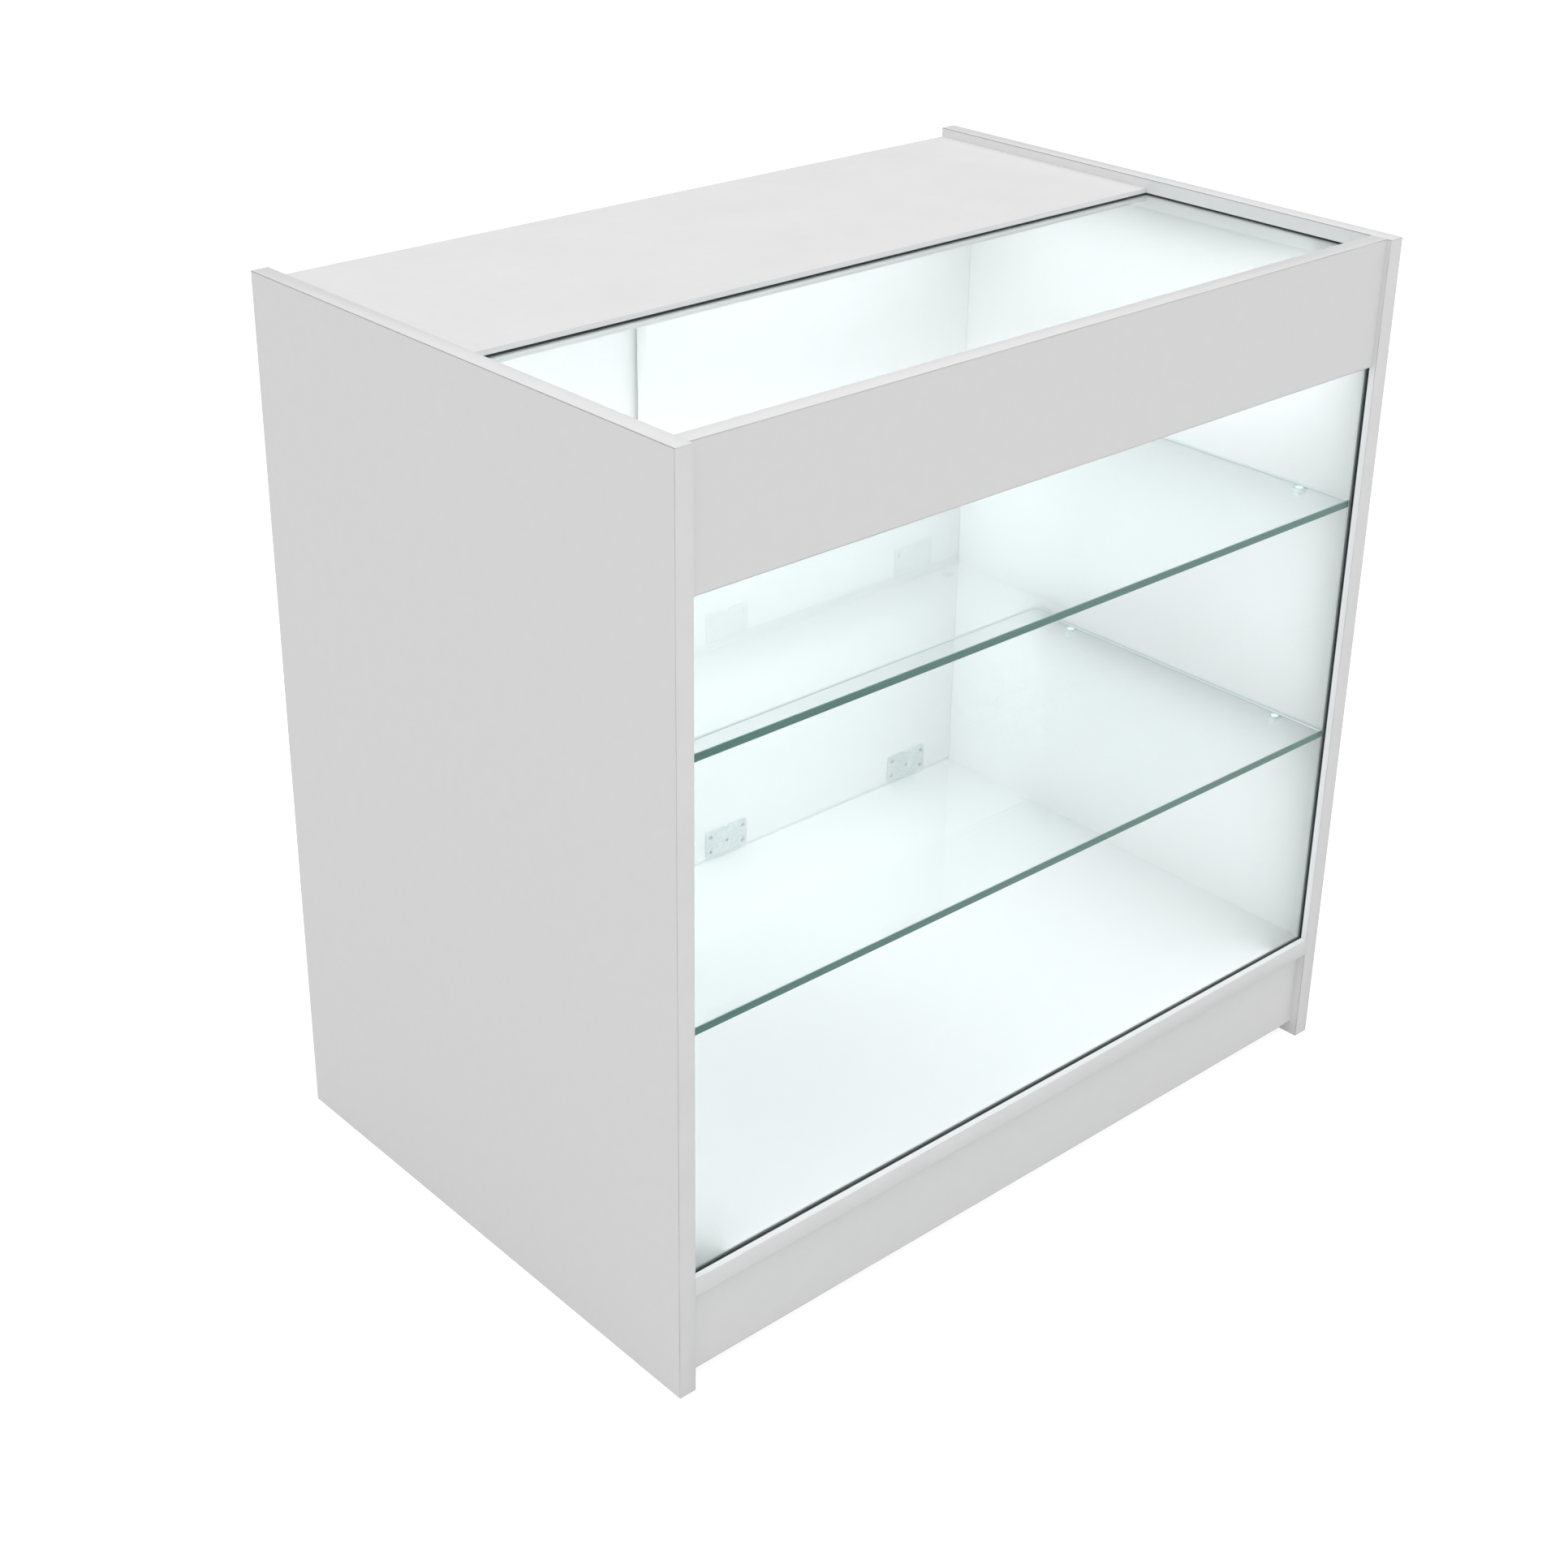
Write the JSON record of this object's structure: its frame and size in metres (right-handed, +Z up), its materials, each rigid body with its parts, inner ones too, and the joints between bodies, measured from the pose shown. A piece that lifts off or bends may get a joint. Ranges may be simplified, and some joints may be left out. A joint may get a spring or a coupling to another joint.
{
  "type": "glass display counter",
  "caption": "White board shop counter with a glass front, a half glass top, glass shelves, a light bar and sliding rear doors on rollers.",
  "frame": {"origin": "on the floor, under the middle of the counter", "axes": "+X to the right as a customer facing the glass sees it, +Y to the rear doors, +Z up"},
  "size_m": [0.9, 0.6, 0.9],
  "materials": {
    "white_board": "matt white melamine faced chipboard",
    "white_edging": "matt white edge band, 1 mm",
    "pane_glass": "clear float glass, polished",
    "shelf_glass": "clear float glass with green polished edges",
    "black_rubber": "black glazing rubber",
    "peg_plastic": "clear grey moulded plastic",
    "clear_pad": "soft clear pad",
    "cam_zinc": "die cast zinc",
    "zinc_steel": "bright zinc plated steel",
    "beech": "fluted beech",
    "track_aluminium": "satin anodised",
    "fitting_plastic": "pale grey moulded plastic",
    "roller_nylon": "white nylon",
    "pull_metal": "satin nickel",
    "bumper_pad": "soft clear bumper",
    "light_board": "white circuit board with light chips",
    "diffuser": "opal diffuser",
    "cap_plastic": "grey moulded plastic",
    "lead_sheath": "white flexible sheath",
    "saddle_plastic": "white moulded plastic",
    "inlet_plastic": "black moulded plastic"
  },
  "bodies": {
    "cabinet": {"left_side_panel": "white_board", "right_side_panel": "white_board", "left_side_edge_bands": "white_edging", "right_side_edge_bands": "white_edging", "deck_panel": "white_board", "deck_edge_bands": "white_edging", "worktop_panel": "white_board", "worktop_edge_bands": "white_edging", "front_apron": "white_board", "apron_edge_bands": "white_edging", "front_kick_board": "white_board", "rear_kick_board": "white_board", "kick_edge_bands": "white_edging", "cam_locks": "cam_zinc", "cam_bolts": "zinc_steel", "wood_dowels": "beech", "front_glass": "pane_glass", "front_glass_rubber": "black_rubber", "top_glass": "pane_glass", "top_glass_rubber": "black_rubber", "upper_glass_shelf": "shelf_glass", "lower_glass_shelf": "shelf_glass", "upper_shelf_pegs": "peg_plastic", "lower_shelf_pegs": "peg_plastic", "upper_shelf_pads": "clear_pad", "lower_shelf_pads": "clear_pad", "bottom_door_track": "track_aluminium", "top_door_track": "track_aluminium", "track_screws": "zinc_steel", "door_bumpers": "bumper_pad", "light_channel": "track_aluminium", "light_board": "light_board", "light_diffuser": "diffuser", "light_end_caps": "cap_plastic", "light_clips": "zinc_steel", "light_clip_screws": "zinc_steel", "light_lead": "lead_sheath", "lead_saddles": "saddle_plastic", "power_inlet": "inlet_plastic", "inlet_nut": "zinc_steel"},
    "right_door": {"right_door_panel": "white_board", "right_door_edge_band": "white_edging", "right_door_roller_housings": "fitting_plastic", "right_door_roller_axles": "zinc_steel", "right_door_top_guides": "fitting_plastic", "right_door_screws": "zinc_steel", "right_door_finger_pull": "pull_metal"},
    "right_meeting_roller": {"right_door_meeting_roller": "roller_nylon"},
    "right_closing_roller": {"right_door_closing_roller": "roller_nylon"},
    "left_door": {"left_door_panel": "white_board", "left_door_edge_band": "white_edging", "left_door_roller_housings": "fitting_plastic", "left_door_roller_axles": "zinc_steel", "left_door_top_guides": "fitting_plastic", "left_door_screws": "zinc_steel", "left_door_finger_pull": "pull_metal"},
    "left_meeting_roller": {"left_door_meeting_roller": "roller_nylon"},
    "left_closing_roller": {"left_door_closing_roller": "roller_nylon"}
  },
  "joints": [
    {"name": "right_door_slide", "type": "slide", "parent": "cabinet", "child": "right_door", "axis": [-1, 0, 0], "range_m": [0, 0.393]},
    {"name": "right_meeting_roller_spin", "type": "hinge", "parent": "right_door", "child": "right_meeting_roller", "pos_m": [0.0678, 0.254, 0.1368], "axis": [0, 1, 0], "range_deg": [-2371, 0]},
    {"name": "right_closing_roller_spin", "type": "hinge", "parent": "right_door", "child": "right_closing_roller", "pos_m": [0.3533, 0.254, 0.1368], "axis": [0, 1, 0], "range_deg": [-2371, 0]},
    {"name": "left_door_slide", "type": "slide", "parent": "cabinet", "child": "left_door", "axis": [-1, 0, 0], "range_m": [-0.393, 0]},
    {"name": "left_meeting_roller_spin", "type": "hinge", "parent": "left_door", "child": "left_meeting_roller", "pos_m": [-0.0678, 0.275, 0.1368], "axis": [0, 1, 0], "range_deg": [0, 2371]},
    {"name": "left_closing_roller_spin", "type": "hinge", "parent": "left_door", "child": "left_closing_roller", "pos_m": [-0.3533, 0.275, 0.1368], "axis": [0, 1, 0], "range_deg": [0, 2371]}
  ],
  "couplings": [
    {"joint": "right_meeting_roller_spin", "follows": "right_door_slide", "rad_per_m": -105.26},
    {"joint": "right_closing_roller_spin", "follows": "right_door_slide", "rad_per_m": -105.26},
    {"joint": "left_meeting_roller_spin", "follows": "left_door_slide", "rad_per_m": -105.26},
    {"joint": "left_closing_roller_spin", "follows": "left_door_slide", "rad_per_m": -105.26}
  ]
}
